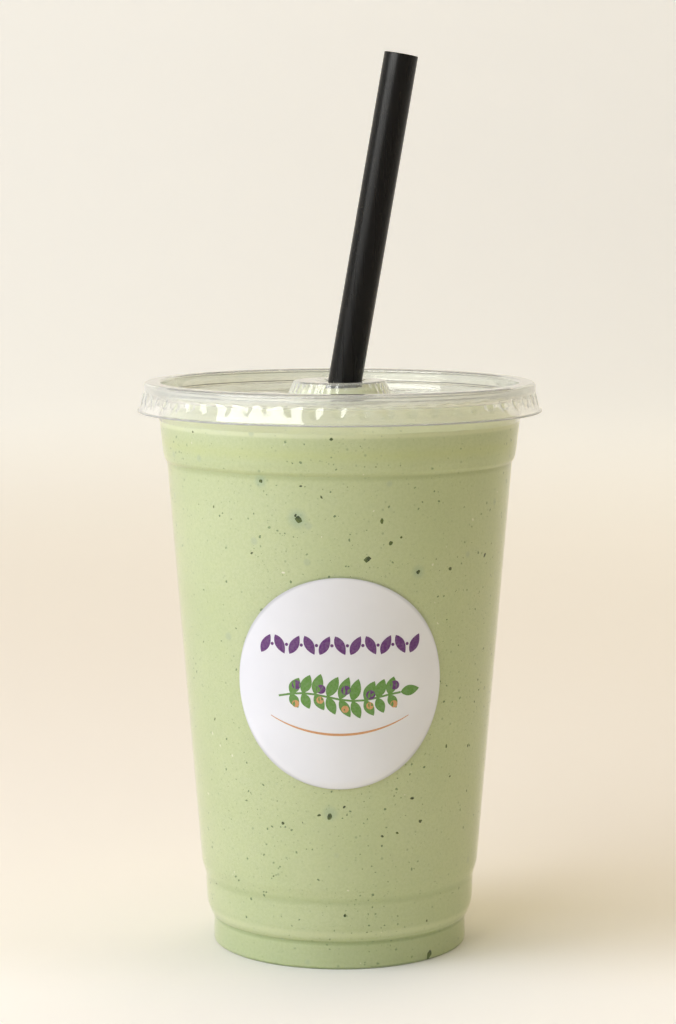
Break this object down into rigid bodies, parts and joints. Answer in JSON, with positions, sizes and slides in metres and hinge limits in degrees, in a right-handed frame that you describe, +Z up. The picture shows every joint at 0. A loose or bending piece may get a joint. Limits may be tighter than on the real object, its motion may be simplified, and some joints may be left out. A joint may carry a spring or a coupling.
{
  "type": "green smoothie in a lidded cup",
  "caption": "Green smoothie in a clear disposable cup with a flat push-on lid, a black straw through its slot and a round label.",
  "frame": {"origin": "centre of the foot's circle, on the surface the cup stands on", "axes": "+Z up the cup's axis, -Y towards the label, +X the way the straw leans"},
  "size_m": [0.1016, 0.1016, 0.2245],
  "materials": {
    "clear_plastic": "clear glossy thin plastic",
    "smoothie": "thick opaque pale green drink with dark specks",
    "black_straw": "satin",
    "label_paper": "smooth white, plain printed shapes"
  },
  "bodies": {
    "root": {"cup": "clear_plastic", "drink": "smoothie", "lid": "clear_plastic", "straw": "black_straw", "label": "label_paper"}
  },
  "joints": []
}
